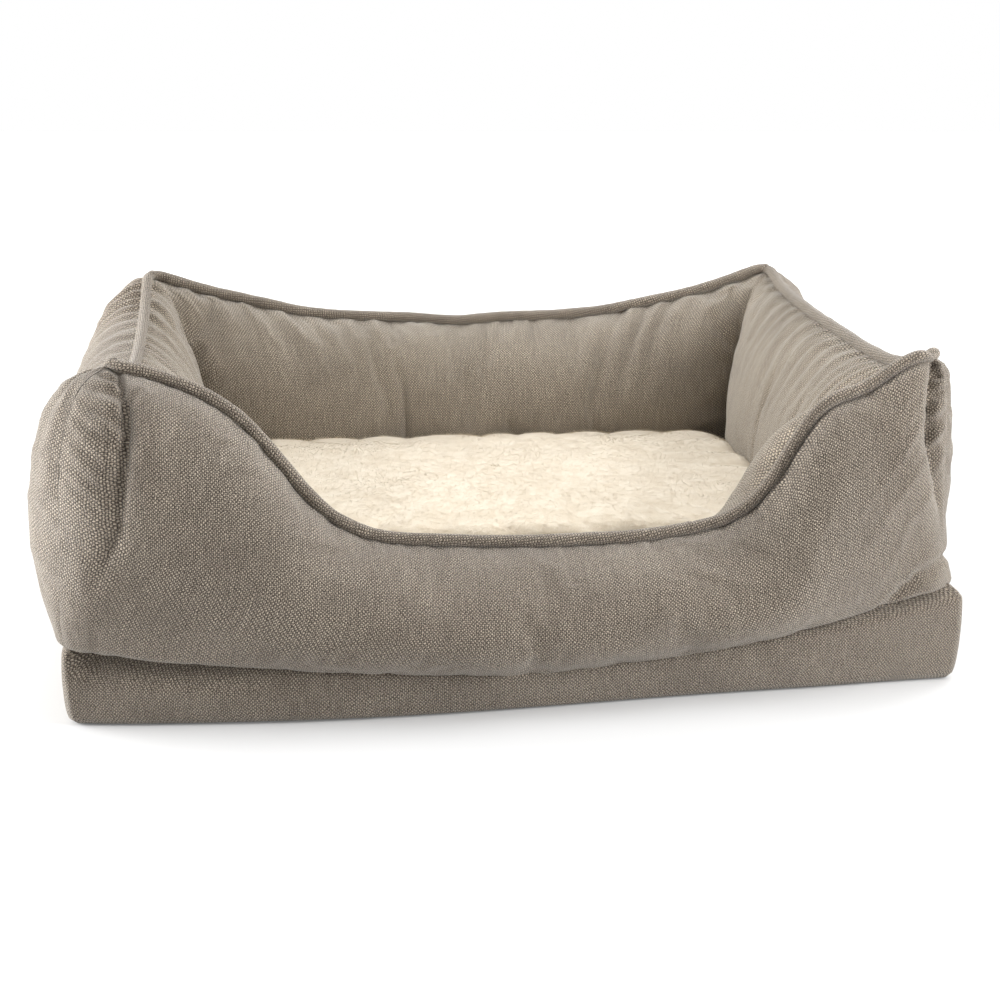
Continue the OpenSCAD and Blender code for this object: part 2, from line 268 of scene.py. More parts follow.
def inner_section(wall, u):
    """Paths down the inside, from the ridge over the belly to the deck."""
    top, d, r = panel_top(wall, u), swell_in(wall, u), ridge_shift(wall, u)
    h = top - DECK_Z
    belly = DECK_Z + 0.35 * h
    main = bezier(
        [
            point(r - 0.0004, top),
            point(r - 0.6 * d, top - 0.03 * h),
            point(-d, belly + 0.3 * h),
            point(-d, belly),
        ],
        60,
    )
    foot = bezier(
        [
            point(-d, belly),
            point(-d, belly - 0.12 * h),
            point(-d, DECK_Z + 0.1 * h),
            point(-d + 0.004, DECK_Z + 0.0006),
        ],
        24,
    )
    return np.concatenate([main, foot[:, 1:]], 1)


def row_shares(rows):
    """Shares of the way down at which a panel's rows lie, closer together near the piping."""
    return np.linspace(0, 1, rows) ** 1.25


def resampled(section, rows):
    """The same paths with their points at a panel's rows, and each path's length."""
    out = np.zeros((len(section), rows, 2))
    length = np.zeros(len(section))
    for i, path in enumerate(section):
        run = run_along(path)
        at = run[-1] * row_shares(rows)
        out[i, :, 0] = np.interp(at, run, path[:, 0])
        out[i, :, 1] = np.interp(at, run, path[:, 1])
        length[i] = run[-1]
    return out, length


def plan(wall, f, turn, d, squarer=0.0, corner=BASE_R):
    """Point of the plan at share f of the straight and turn radians round the corner, d outside the ridge."""
    r = np.maximum(WELL_R, RIDGE_R + d)
    r = r + squarer * (corner - r)
    x = f * (HALF_LEN[wall] + d - r) + r * np.sin(turn)
    off = HALF_OFF[wall] + d - r + r * np.cos(turn)
    return x, off


def columns(wall, spacing):
    """Straight share, turn and u of a wall's columns, which crowd a little towards the corners."""
    arc = 8
    run = max(8, round(2 * HALF_LEN[wall] / spacing))
    ends = np.linspace(-math.pi / 4, 0, arc, endpoint=False)
    t = np.linspace(-1, 1, run + 1)
    f = np.concatenate([-np.ones(arc), t * (1.28 - 0.28 * t * t), np.ones(arc)])
    turn = np.concatenate([ends, np.zeros(run + 1), -ends[::-1]])
    u = plan(wall, f, turn, 0)[0] / plan(wall, np.ones(1), np.array([math.pi / 4]), 0)[0][0]
    return f, turn, u


def placed(wall, x, off, z):
    """Points of a wall, along it, outwards and up, in the frame's coordinates."""
    a = wall * math.pi / 2
    c, s = round(math.cos(a)), round(math.sin(a))
    x, off, z = np.broadcast_arrays(x, off, z)
    return np.stack([x * c + off * s, x * s - off * c + CENTRE_Y, z], -1)


# ---- Grids ----


def normals(p):
    n = np.cross(np.gradient(p, axis=0), np.gradient(p, axis=1))
    return n / np.maximum(np.linalg.norm(n, axis=-1, keepdims=True), 1e-12)


def finer(g):
    """Interpolating subdivision of a grid along its first two axes."""
    for axis in (0, 1):
        g = np.moveaxis(g, axis, 0)
        pad = np.concatenate([2 * g[:1] - g[1:2], g, 2 * g[-1:] - g[-2:-1]])
        mid = (9 * (pad[1:-2] + pad[2:-1]) - pad[:-3] - pad[3:]) / 16
        out = np.zeros((2 * len(g) - 1,) + g.shape[1:])
        out[::2], out[1::2] = g, mid
        g = np.moveaxis(out, 0, axis)
    return g


def softened(g, radius, times=3):
    """The grid with detail smaller than radius cells smoothed away."""
    for _ in range(times):
        for axis in (0, 1):
            g = np.moveaxis(g, axis, 0)
            pad = np.concatenate([g[:1]] * radius + [g] + [g[-1:]] * radius)
            total = np.cumsum(np.concatenate([np.zeros_like(pad[:1]), pad]), 0)
            g = (total[2 * radius + 1 :] - total[: -2 * radius - 1]) / (2 * radius + 1)
            g = np.moveaxis(g, 0, axis)
    return g


def mesh_object(name, verts, faces, uv=None):
    me = bpy.data.meshes.new(name)
    me.from_pydata(verts, [], faces)
    if uv is not None:
        layer = me.uv_layers.new(name=UV)
        index = np.zeros(len(me.loops), np.int32)
        me.loops.foreach_get("vertex_index", index)
        layer.data.foreach_set("uv", np.asarray(uv, np.float32)[index].ravel())
    me.polygons.foreach_set("use_smooth", [True] * len(me.polygons))
    me.update()
    ob = bpy.data.objects.new(name, me)
    bpy.context.scene.collection.objects.link(ob)
    return ob


def grid_object(name, p, uv, flip=False, keep=None):
    """A mesh of quads over a grid of points; keep says which quads to make."""
    n, m = p.shape[:2]
    i, j = np.meshgrid(np.arange(n - 1), np.arange(m - 1), indexing="ij")
    a = i * m + j
    quads = np.stack([a, a + 1, a + m + 1, a + m] if flip else [a, a + m, a + m + 1, a + 1], -1)
    quads = quads.reshape(-1, 4)
    if keep is not None:
        quads = quads[keep.ravel()]
    return mesh_object(name, p.reshape(-1, 3).tolist(), quads.tolist(), uv.reshape(-1, 2))


def dress(ob, material, body, slot, *nodes):
    """Gives a piece its material and body, and hides the nodes it stands for, if any. The slot is not used.
    """
    ob.data.materials.append(material)
    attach(ob, body)
    if nodes:
        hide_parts(*nodes)


# ---- Materials ----


class Graph:
    """A Principled material and short ways to make its nodes."""

    def __init__(self, name):
        self.material = bpy.data.materials.new(name)
        self.material.use_nodes = True
        self.tree = self.material.node_tree
        self.shader = self.tree.nodes["Principled BSDF"]

    def node(self, kind, inputs=None, **props):
        n = self.tree.nodes.new(kind)
        for k, v in props.items():
            setattr(n, k, v)
        for k, v in (inputs or {}).items():
            self.join(v, n.inputs[k])
        return n

    def join(self, value, socket):
        if isinstance(value, bpy.types.NodeSocket):
            self.tree.links.new(value, socket)
        else:
            socket.default_value = value

    def math(self, op, a, b=0.0, c=0.0):
        return self.node("ShaderNodeMath", {0: a, 1: b, 2: c}, operation=op).outputs[0]

    def add(self, a, b):
        return self.math("ADD", a, b)

    def mul(self, a, b):
        return self.math("MULTIPLY", a, b)

    def split(self, vector):
        return self.node("ShaderNodeSeparateXYZ", {0: vector}).outputs

    def smooth(self, x, a, b, low=0.0, high=1.0):
        n = self.node("ShaderNodeMapRange", {0: x, 1: a, 2: b, 3: low, 4: high})
        n.interpolation_type = "SMOOTHSTEP"
        return n.outputs[0]

    def mix(self, share, a, b):
        n = self.node("ShaderNodeMix", data_type="RGBA")
        for socket, value in ((n.inputs[0], share), (n.inputs[6], a), (n.inputs[7], b)):
            self.join(value, socket)
        return n.outputs[2]

    def noise(self, vector, scale, detail=2.0, rough=0.5, out=0):
        n = self.node("ShaderNodeTexNoise", {"Vector": vector, "Scale": scale})
        n.inputs["Detail"].default_value = detail
        n.inputs["Roughness"].default_value = rough
        return n.outputs[out]

    def scaled(self, vector, x, y, z=1.0, turn=0.0):
        n = self.node("ShaderNodeMapping", {"Vector": vector})
        n.inputs["Scale"].default_value = (x, y, z)
        n.inputs["Rotation"].default_value = (0, 0, turn)
        return n.outputs[0]

    def uv(self):
        return self.node("ShaderNodeUVMap", uv_map=UV).outputs[0]

    def place(self):
        return self.node("ShaderNodeTexCoord").outputs["Object"]

    def bump(self, height, distance, strength=1.0):
        inputs = {"Height": height, "Distance": distance, "Strength": strength}
        return self.node("ShaderNodeBump", inputs).outputs[0]

    def finish(self, colour, rough, normal=None, sheen=0.0, metal=0.0, tint=(1, 1, 1)):
        self.join(colour, self.shader.inputs["Base Color"])
        self.join(rough, self.shader.inputs["Roughness"])
        if normal is not None:
            self.join(normal, self.shader.inputs["Normal"])
        self.shader.inputs["Metallic"].default_value = metal
        if sheen:
            self.shader.inputs["Sheen Weight"].default_value = sheen
            self.shader.inputs["Sheen Roughness"].default_value = 0.4
            self.shader.inputs["Sheen Tint"].default_value = (*tint, 1)
            self.shader.inputs["Specular IOR Level"].default_value = 0.15
        return self.material


def shade(hexa):
    """A hex colour as linear RGBA."""
    out = []
    for i in (1, 3, 5):
        c = int(hexa[i : i + 2], 16) / 255
        out.append(c / 12.92 if c <= 0.04045 else ((c + 0.055) / 1.055) ** 2.4)
    return (*out, 1)


def weave(name, light, dark, cell=0.00138, turn=0.0, flat=False):
    """A plain weave of thick slubby threads, laid by the cloth's UV, or by place on a flat panel."""
    g = Graph(name)
    base = g.scaled(g.place() if flat else g.uv(), 1, 1, 1, turn)
    where = g.split(base)
    drift = g.split(g.noise(base, 90.0, 1.0, out="Color"))
    shake = g.split(g.noise(base, 420.0, 1.0, out="Color"))
    x, y = (
        g.add(g.mul(where[k], 1 / cell), g.add(g.mul(drift[k], 1.6), g.mul(shake[k], 0.9)))
        for k in (0, 1)
    )
    cx, cy = g.math("FLOOR", x), g.math("FLOOR", y)
    fx, fy = g.math("SUBTRACT", x, cx), g.math("SUBTRACT", y, cy)
    odd = g.math("PINGPONG", g.add(cx, cy), 1.0)
    even = g.math("SUBTRACT", 1.0, odd)

    def hump(f):
        c = g.math("MULTIPLY_ADD", f, 2.0, -1.0)
        return g.math("SUBTRACT", 1.0, g.mul(c, c))

    a, b = hump(fx), hump(fy)
    warp = g.mul(g.math("SQRT", a), g.math("MULTIPLY_ADD", b, 0.4, 0.6))
    weft = g.mul(g.math("SQRT", b), g.math("MULTIPLY_ADD", a, 0.4, 0.6))
    height = g.add(g.mul(warp, even), g.mul(weft, odd))
    # each thread has its own tone, which wanders along it
    warp_at = g.node("ShaderNodeCombineXYZ", {0: cx, 1: g.mul(y, 0.06)}).outputs[0]
    weft_at = g.node("ShaderNodeCombineXYZ", {0: g.mul(x, 0.06), 1: cy}).outputs[0]
    warp_tone = g.noise(g.scaled(warp_at, 0.73, 1), 1.0)
    weft_tone = g.noise(g.scaled(weft_at, 1, 0.73), 1.0)
    tone = g.add(g.mul(warp_tone, even), g.mul(weft_tone, odd))
    thread = g.mix(odd, light, dark)
    thread = g.mix(g.smooth(tone, 0.3, 0.7, 0.0, 0.5), thread, dark)
    fleck = g.noise(base, 1100.0, 2.0, 0.7)
    thread = g.mix(g.smooth(fleck, 0.45, 0.7, 0.0, 0.7), thread, light)
    thread = g.mix(g.smooth(g.noise(base, 14.0), 0.3, 0.75, 0.0, 0.25), thread, dark)
    # the gaps between threads are dark, and stray fibres cross some of them
    sunk = g.add(height, g.mul(g.math("SUBTRACT", fleck, 0.5), 0.9))
    colour = g.mix(g.smooth(sunk, 0.32, 0.98), TAUPE_GAP, thread)
    normal = g.bump(g.add(height, g.mul(fleck, 0.5)), 0.0007)
    return g.finish(colour, 0.88, normal, 0.6, tint=(1.0, 0.97, 0.92))


def fleece(name, light, dark, strand=False):
    """Soft mottled fleece: the skin has a fine bump, and the strands of pile have none."""
    g = Graph(name)
    where = g.place()
    soft = g.noise(where, 55.0, 3.0, 0.6)
    fine = g.noise(g.scaled(where, 1.0, 0.35, 1.0, 0.5), 900.0, 2.0, 0.6)
    colour = g.mix(g.smooth(soft, 0.3, 0.7), light, dark)
    colour = g.mix(g.smooth(fine, 0.35, 0.75, 0.0, 0.35), colour, dark)
    normal = None if strand else g.bump(g.add(g.mul(fine, 0.3), soft), 0.0006, 0.6)
    return g.finish(colour, 0.95, normal, 0.5, tint=(1.0, 0.98, 0.94))


def plain_cloth(name, light, dark, cell=0.0006):
    """A fine, tight cotton, with slight shading over it."""
    g = Graph(name)
    where = g.place()
    x, y, z = g.split(where)
    k = TURN / cell
    rib = g.mul(g.math("SINE", g.mul(g.add(x, z), k)), g.math("SINE", g.mul(g.add(y, z), k)))
    colour = g.mix(g.smooth(g.noise(where, 40.0, 3.0), 0.3, 0.7), light, dark)
    colour = g.mix(g.smooth(rib, -1.0, 1.0, 0.0, 0.25), colour, dark)
    return g.finish(colour, 0.85, g.bump(rib, 0.00015, 0.6), 0.1)


def grip_cloth():
    """Dark underside cloth with small raised grip dots."""
    g = Graph("underside_grip_cloth")
    where = g.place()
    pitch = 0.012
    x, y, _ = g.split(where)
    fx, fy = (g.math("SUBTRACT", g.math("FRACT", g.mul(c, 1 / pitch)), 0.5) for c in (x, y))
    r = g.math("SQRT", g.add(g.mul(fx, fx), g.mul(fy, fy)))
    dot = g.smooth(r, 0.13, 0.19, 1.0, 0.0)
    grain = g.noise(where, 1500.0, 2.0, 0.6)
    cloth = g.mix(g.smooth(grain, 0.3, 0.7), shade("#2c2926"), shade("#46423d"))
    colour = g.mix(dot, cloth, shade("#55504a"))
    rough = g.smooth(dot, 0.0, 1.0, 0.9, 0.5)
    return g.finish(colour, rough, g.bump(g.add(g.mul(dot, 3.0), grain), 0.0003, 0.8))


def worn_metal():
    g = Graph("zip_metal_worn")
    rough = 0.28
    scratch = g.noise(g.scaled(g.place(), 1.0, 8.0, 1.0), 700.0, 3.0, 0.6)
    tone = g.mix(g.smooth(scratch, 0.3, 0.8, 0.0, 0.3), shade("#bdbbb5"), shade("#6d6b66"))
    roughness = g.smooth(scratch, 0.2, 0.8, rough, rough + 0.18)
    return g.finish(tone, roughness, g.bump(scratch, 0.00004, 0.4), metal=1.0)


def zip_nylon():
    g = Graph("zip_nylon_satin")
    tone = g.mix(g.smooth(g.noise(g.place(), 500.0), 0.3, 0.7), shade("#6f675d"), shade("#5b544b"))
    return g.finish(tone, 0.42, g.bump(g.noise(g.place(), 3000.0), 0.00005))


def label_satin():
    g = Graph("label_satin_weave")
    rib = g.math("SINE", g.mul(g.split(g.uv())[1], TURN / 0.0005))
    colour = g.mix(g.smooth(rib, -1.0, 1.0, 0.0, 0.3), shade("#d3c8b4"), shade("#b9ad98"))
    return g.finish(colour, 0.35, g.bump(rib, 0.0001, 0.4), 0.3)


TAUPE_LIGHT = shade("#cdbfac")
TAUPE = shade("#64594f")
TAUPE_GAP = shade("#1c1611")
FABRIC = {
    "outer": weave("taupe_weave_outer", TAUPE_LIGHT, TAUPE),
    # the inner walls' copy of the weave is painted lighter than the outer one: painted light for the light
    # that falls into the well
    "inner": weave("taupe_weave_inner_painted_light", shade("#e1d3bd"), shade("#7b6f63")),
    "piping": weave("taupe_piping_weave", TAUPE_LIGHT, TAUPE, 0.0016, math.radians(38)),
    "deck": weave("taupe_weave_flat", TAUPE_LIGHT, TAUPE, flat=True),
}
CREAM = fleece("cream_fleece_skin", shade("#e3d9c7"), shade("#d7cbb6"))
PILE = fleece("cream_fleece_pile", shade("#e8dfce"), shade("#dcd0bd"), True)
COTTON = plain_cloth("cream_cotton_cloth", shade("#ece1cd"), shade("#d8cab2"))
TAPE = plain_cloth("zip_tape_cloth", shade("#8b8377"), shade("#6f675d"), 0.0009)
METAL = worn_metal()

KEPT = {"base_zip_tapes": TAPE, "base_zip_stops": METAL, "base_zip_slider": METAL, "base_zip_pull": METAL}
for node, material in KEPT.items():
    NODES[node].data.materials.clear()
    NODES[node].data.materials.append(material)


# ---- Wall covers ----

SETTLE_FRAMES = 20
GATHERS = {  # spacing, height and reach of the gathers below the piping
    ("outer", FRONT): (0.024, 0.0008, 0.030),
    ("outer", RIGHT): (0.019, 0.0028, 0.060),
    ("outer", BACK): (0.022, 0.0020, 0.050),
    ("outer", LEFT): (0.018, 0.0030, 0.065),
    ("inner", FRONT): (0.026, 0.0012, 0.030),
    ("inner", RIGHT): (0.024, 0.0027, 0.060),
    ("inner", BACK): (0.030, 0.0026, 0.060),
    ("inner", LEFT): (0.022, 0.0028, 0.060),
}


class Panel:
    """One cover panel of a wall, as a grid of points from corner to corner and from its ridge down."""

    def __init__(self, side, wall):
        self.side, self.wall, self.outer = side, wall, side == "outer"
        self.name = f"{NAMES[wall]}_{side}_cover"
        self.seed = wall * 7 + (3 if self.outer else 0)
        self.pitch, self.high, self.reach = GATHERS[side, wall]
        f, turn, u = columns(wall, 0.005)
        rows = 45 if self.outer else 37
        make = outer_section if self.outer else inner_section
        section, length = resampled(make(wall, u), rows)
        self.u, self.v = u[:, None], row_shares(rows)[None, :]
        self.down = self.v * length[:, None]
        self.length = length[:, None] + 0 * self.down
        run = run_along(np.stack(plan(wall, f, turn, 0.03 if self.outer else -0.03), -1))
        self.s = (run - run[-1] / 2)[:, None] + 0 * self.down
        self.edge = run[-1] / 2 - np.abs(self.s)
        self.up = self.length - self.down
        self.uv = np.stack([self.s, self.up], -1)
        d, z = section[..., 0], section[..., 1]
        relief = self.lumps()
        squarer = 0 * self.v
        if self.outer:
            x = plan(wall, f[:, None], turn[:, None], d)[0]
            relief = relief - self.corner_seam(x) + self.strain()
            if wall in (FRONT, RIGHT):
                relief = relief - self.corner_fold()
            if wall == FRONT:
                relief = relief + self.entry_strain(z)
            squarer = step(0.55, 1.0, self.v) * (1 - 0.35 * near_front_right(wall, self.u))
        else:
            relief = relief - 0.006 * np.sin(math.pi * self.v) ** 0.7 * hill(self.edge, 0, 0.012)
        # the cloth dips beside the piping
        relief = relief - 0.0034 * hill(self.down, 0.0055, 0.0028)
        d = d + (relief if self.outer else -relief)
        px, off = plan(wall, f[:, None], turn[:, None], d, squarer, FOLD_R)
        p = placed(wall, px, off, z)
        self.rest = p + self.outward(p) * self.gathers()[..., None]
        self.final = self.rest

    def outward(self, p):
        return normals(p) * (-1 if self.outer else 1)

    def lumps(self):
        """The stuffing's large soft lumps, which fade out at the seams."""
        s, down, seed = self.s, self.down, self.seed
        self.free = step(0, 0.03, self.edge) * step(0, 0.02, down) * step(0, 0.02, self.up)
        large = 0.0045 * noise(s / 0.11, down / 0.075, seed) * self.free
        return large + 0.0022 * noise(s / 0.05, down / 0.05, seed + 1) * self.free

    def corner_seam(self, x):
        """Below each peak of the front and back a seam pulls in, and the cloth rolls out beside it."""
        v = self.v
        drift = 0.007 * np.sin(math.pi * np.clip(v / 0.6, 0, 1)) - 0.010 * step(0.45, 0.8, v)
        at = HALF_LEN[self.wall] - RIDGE_R + 0.008 - drift + 0.010 * near_front_right(self.wall, self.u)
        self.beside = np.abs(x) - at + 0.003 * noise(self.down / 0.05, 0 * x, self.seed + 8)
        deep = step(0.0, 0.06, v) * step(0.8, 0.35, v) if self.wall in (FRONT, BACK) else 0 * v
        self.depth = deep + 0 * self.beside
        pull = 0.0050 * hill(self.beside, 0, 0.007) - 0.0045 * hill(self.beside, -0.020, 0.013)
        return step(0, 0.012, self.edge) * self.depth * pull

    def strain(self):
        """Slanting strain lines near the corners."""
        s, down = self.s, self.down
        phase = (s * 0.8 + down) / 0.030 + 1.2 * noise(s / 0.09, down / 0.09, self.seed + 9)
        near = step(0.16, 0.02, self.edge) * step(0.95, 0.5, self.v)
        return 0.0011 * np.maximum(0, np.cos(TURN * phase)) * self.free * near

    def corner_fold(self):
        """A second fold above the base runs up to the front right corner."""
        across = self.u if self.wall == FRONT else 2 + self.u
        rise = self.up - 0.034 * np.clip((across - 0.80) / 0.2, 0, 1)
        share = step(0.80, 0.9, across) * step(1.2, 1.05, across)
        return 0.0035 * share * hill(rise, 0, 0.004) * step(0, 0.01, self.up)

    def entry_strain(self, z):
        """Strain lines where the front ridge falls steeply to the entry."""
        steep = step(0.25, 0.45, np.abs(self.u)) * step(0.85, 0.65, np.abs(self.u))
        sway = 0.7 * noise(self.s / 0.06, self.down / 0.06, self.seed + 12)
        wave = np.maximum(0, np.cos(TURN * (z / 0.026 + sway)))
        return 0.0024 * steep * wave**2 * hill(self.down, 0.03, 0.026)

    def gathers(self):
        """Gathers that hang from the piping and die out below it."""
        s, down, seed = self.s, self.down, self.seed
        phase = s / self.pitch + 0.9 * noise(s / 0.07, 0 * s, seed + 2)
        phase = phase + 0.35 * noise(s / 0.05, down / 0.06, seed + 3)
        some = 0.65 + 0.5 * noise(s / 0.045, 0 * s, seed + 4)
        fold = self.high * some * np.cos(TURN * phase) * np.exp(-down / self.reach)
        return fold * step(0, 0.012, down) * step(0.0, 0.012, self.edge) * step(0, 0.03, self.up)

    def hang(self):
        """The panel as a cloth under pressure, held at its seams."""
        ob = grid_object(self.name + "_sim", self.rest, self.uv, self.outer)
        n, m = self.rest.shape[:2]
        index = np.arange(n * m).reshape(n, m)
        held = set(index[0]) | set(index[-1]) | set(index[:, 0]) | set(index[:, -1])
        ob.vertex_groups.new(name="seams").add([int(i) for i in held], 1.0, "REPLACE")
        cloth = ob.modifiers.new("Cloth", "CLOTH")
        st = cloth.settings
        st.quality = 5
        st.mass = 0.25
        st.tension_stiffness = st.compression_stiffness = 12
        st.shear_stiffness = 6
        st.bending_stiffness = 0.25
        st.tension_damping = st.compression_damping = 8
        st.air_damping = 4
        st.vertex_group_mass = "seams"
        st.pin_stiffness = 1
        st.use_pressure = True
        st.uniform_pressure_force = 3.5
        st.shrink_min = -0.022 if self.outer else -0.03
        st.effector_weights.gravity = 0
        cloth.collision_settings.use_collision = False
        cloth.collision_settings.use_self_collision = False
        cloth.point_cache.frame_start = 1
        cloth.point_cache.frame_end = SETTLE_FRAMES
        self.cloth = ob

    def settle(self):
        """Takes the creases from the cloth and keeps the wall's own shape."""
        cap, swell_kept = 0.014, 0.2
        crease_kept = 0.4 if self.wall == FRONT and self.outer else 0.6
        cloth = self.cloth.evaluated_get(bpy.context.evaluated_depsgraph_get()).data
        co = np.zeros(len(cloth.vertices) * 3)
        cloth.vertices.foreach_get("co", co)
        move = co.reshape(self.rest.shape) - self.rest
        size = np.linalg.norm(move, axis=-1, keepdims=True)
        move = move * np.where(size > cap, cap / np.maximum(size, 1e-9), 1)
        gap = np.minimum(self.edge, np.minimum(self.down, self.up))
        crease = move - softened(move, 6) * step(0, 0.03, gap)[..., None]
        self.final = self.rest + crease_kept * crease + swell_kept * (move - crease)
        bpy.data.objects.remove(self.cloth)

    def puckers(self, s, down, edge, length):
        """Fine puckers along the ridge seam, and the sharp crease and tucks of the corner seam."""
        phase = s / (self.pitch * 0.47) + 1.3 * noise(s / 0.03, down / 0.05, self.seed + 5)
        some = np.maximum(0, 0.4 + 0.8 * noise(s / 0.03, 0 * s, self.seed + 6))
        fine = 0.4 * self.high * some * np.cos(TURN * phase) * np.exp(-down / (0.5 * self.reach))
        fine = fine * step(0, 0.007, down) * step(0, 0.01, edge)
        if not self.outer:
            return fine
        beside = finer(self.beside)
        sharp = 0.0060 * np.exp(-np.abs(beside) / 0.0030)
        tuck = (down + 0.7 * beside) / 0.017 + 0.5 * noise(down / 0.03, beside / 0.03, self.seed + 11)
        outside = step(0.0, 0.006, beside) * np.exp(-np.maximum(beside, 0) / 0.024)
        outside = outside * step(0.6, 0.15, down / length)
        pull = sharp - 0.0036 * outside * np.cos(TURN * tuck)
        return fine - step(0, 0.007, edge) * finer(self.depth) * pull

    def build(self):
        p, s, down, edge, length = (finer(g) for g in (self.final, self.s, self.down, self.edge, self.length))
        p = p + self.outward(p) * self.puckers(s, down, edge, length)[..., None]
        ob = grid_object(self.name, p, finer(self.uv), self.outer)
        wall = NAMES[self.wall]
        nodes = [f"{wall}_outer_panel", f"{wall}_fill"] if self.outer else [f"{wall}_inner_panel"]
        dress(ob, FABRIC[self.side], "bed", "taupe_weave", *nodes)


panels = [Panel(side, wall) for side in ("outer", "inner") for wall in range(4)]
for panel in panels:
    panel.hang()
for number in range(1, SETTLE_FRAMES + 1):
    bpy.context.scene.frame_set(number)
for panel in panels:
    panel.settle()
bpy.context.scene.frame_set(1)
for panel in panels:
    panel.build()


# ---- Piping ----


def tube(path, radius, sides, cap):
    """Rings of points round a path, with rounded ends of cap rings each, and their UVs."""
    run = np.gradient(path, axis=0)
    run /= np.linalg.norm(run, axis=1, keepdims=True)
    side = np.cross(run, [0, 0, 1.0])
    side /= np.linalg.norm(side, axis=1, keepdims=True)
    a = np.linspace(0, TURN, sides + 1)
    spin = np.cos(a)[None, :, None] * side[:, None] + np.sin(a)[None, :, None] * np.cross(side, run)[:, None]
    at = run_along(path)
    body = list(path[:, None] + radius[:, None, None] * spin)
    lengths = list(at)

    def end_rings(end, way):
        """Rings of a rounded end, outwards."""
        for k in range(1, cap + 1):
            t = math.pi / 2 * k / cap
            on = way * radius[end] * math.sin(t)
            ring = path[end] + run[end] * on + radius[end] * max(math.cos(t), 0.02) * spin[end]
            yield ring, at[end] + on

    for ring, length in end_rings(0, -1):
        body.insert(0, ring)
        lengths.insert(0, length)
    for ring, length in end_rings(-1, 1):
        body.append(ring)
        lengths.append(length)
    uv = np.stack(np.broadcast_arrays(np.array(lengths)[:, None], (a * PIPE_R)[None, :]), -1)
    return np.array(body), uv


def wall_piping(wall):
    """The corded trim along a wall's ridge, thinner and lower at its ends."""
    f, turn, u = columns(wall, 0.0025)
    px, off = plan(wall, f, turn, ridge_shift(wall, u))
    path = placed(wall, px, off, ridge_z(wall, u))
    s = run_along(path)
    radius = PIPE_R + 0.00025 * noise(s / 0.02, 0 * s, wall + 40)
    radius = radius + 0.00015 * noise(s / 0.006, 0 * s, wall + 50)
    if wall == FRONT:
        # the splice of the piping's cover
        splice = np.interp(0.41, u, s)
        radius = radius + 0.0005 * (hill(s, splice, 0.002) - 1.6 * hill(s, splice + 0.003, 0.0012))
    corner = 0.4 + 1.2 * near_front_right(wall, u) - 0.4 * near_front_left(wall, u)
    near_end = hill(np.minimum(s, s[-1] - s), 0, 0.008) * corner
    radius = radius * (1 - 0.3 * near_end)
    path[:, 2] += 0.0006 * noise(s / 0.04, 0 * s, wall + 60) - 0.0038 * near_end
    ob = grid_object(f"{NAMES[wall]}_piping_tube", *tube(path, radius, 16, 4))
    nodes = f"{NAMES[wall]}_piping_cover", f"{NAMES[wall]}_piping_cord"
    dress(ob, FABRIC["piping"], "bed", "taupe_piping", *nodes)


for wall in range(4):
    wall_piping(wall)


# ---- Base ----


def band_rows(wall):
    """Heights of a band's rows as shares of its height; the back's rows keep clear of the zip."""
    if wall != BACK:
        return np.linspace(0, 1, 22)
    below = np.linspace(BAND_LOW, ZIP_Z - 0.006, 9)
    beside = np.linspace(ZIP_Z - 0.0035, ZIP_Z + 0.0035, 3)
    above = np.linspace(ZIP_Z + 0.006, DECK_Z + 0.001, 9)
    z = np.concatenate([below, beside, above])
    return (z - BAND_LOW) / (z[-1] - BAND_LOW)


def band(wall):
    """The base's side: it bows out, has a soft wave, and goes up under the wall's fold."""
    f, turn, u = columns(wall, 0.004)
    high = fold_z(wall, u) + 0.009
    share = band_rows(wall)
    z = BAND_LOW + share[None, :] * (high[:, None] - BAND_LOW)
    run = run_along(np.stack(plan(wall, f, turn, BASE_OUT, 1.0), -1))
    s = (run - run[-1] / 2)[:, None]
    edge = run[-1] / 2 - np.abs(s)
    bow = 0.0042 * np.sin(math.pi * np.clip(share, 0, 1)) ** 0.4
    soft = 0.0016 * noise(s / 0.09, z / 0.03, wall + 80)
    soft = soft + 0.0008 * noise((s + z) / 0.02, (s - z) / 0.09, wall + 90)
    soft = np.maximum(soft, -0.0012) * np.sin(math.pi * share) ** 0.5 * step(0, 0.02, edge)
    roll = -0.001 * np.exp(-share * 22) - 0.012 * step(0.8, 1.0, share)
    straight = base_d(wall, u)[:, None]
    d = straight + bow[None, :] + soft + roll[None, :]
    keep = None
    if wall == BACK:
        # flat round the zip, with room for the pull at both ends, and open over the coils
        near = step(ZIP_HALF + 0.046, ZIP_HALF + 0.026, np.abs(s)) * hill(z, ZIP_Z, 0.010)
        d = d * (1 - near) + (straight - 0.0003) * near
        mid_s = np.abs((s[:-1] + s[1:]) / 2)
        mid_z = (z[:-1, :-1] + z[1:, 1:]) / 2
        keep = ~((mid_s < ZIP_HALF + 0.006) & (np.abs(mid_z - ZIP_Z) < 0.0058))
    if wall == FRONT:
        # the band falls in below the fold on the left
        left = step(-0.35, -0.75, u) * step(-1.0, -0.93, u)
        d = d - 0.013 * left[:, None] * step(0.45, 0.9, share)[None, :]
    px, off = plan(wall, f[:, None], turn[:, None], d, 1.0)
    uv = np.stack(np.broadcast_arrays(s, z), -1)
    ob = grid_object(f"base_{NAMES[wall]}_cover", placed(wall, px, off, z), uv, True, keep)
    dress(ob, FABRIC["outer"], "bed", "taupe_weave", f"base_band_{NAMES[wall]}")


